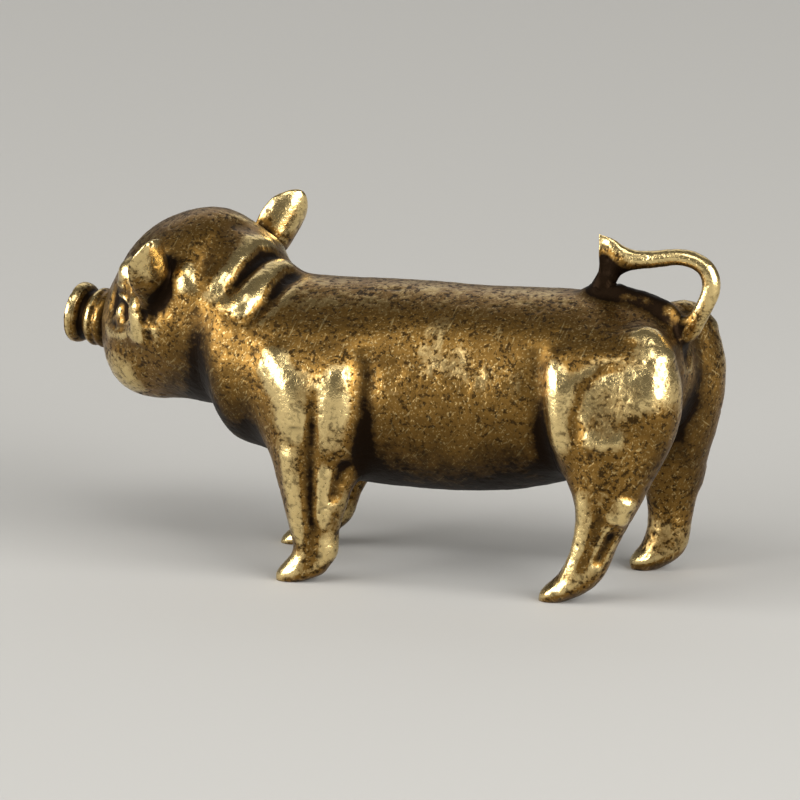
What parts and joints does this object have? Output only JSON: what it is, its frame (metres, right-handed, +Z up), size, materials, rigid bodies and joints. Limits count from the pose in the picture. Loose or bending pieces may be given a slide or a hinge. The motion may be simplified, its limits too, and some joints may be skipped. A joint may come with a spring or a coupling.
{
  "type": "pig figurine",
  "caption": "Small solid cast brass pig ornament in a slow walk, with turned head, pricked ears, folded neck and a tail curled into a loop; it stands on its own hooves.",
  "frame": {"origin": "on the floor under the middle of the whole pig's bounding box", "axes": "-X is the way the pig walks, -Y is its left side, +Z is up"},
  "size_m": [0.0416, 0.015, 0.0209],
  "materials": {
    "antique_cast_brass": "cast, rubbed bright on the high spots, with dark patina in the creases and casting pits"
  },
  "bodies": {
    "root": {"torso": "antique_cast_brass", "head": "antique_cast_brass", "snout": "antique_cast_brass", "left_ear": "antique_cast_brass", "right_ear": "antique_cast_brass", "front_left_leg": "antique_cast_brass", "front_right_leg": "antique_cast_brass", "rear_left_leg": "antique_cast_brass", "rear_right_leg": "antique_cast_brass", "tail": "antique_cast_brass"}
  },
  "joints": []
}
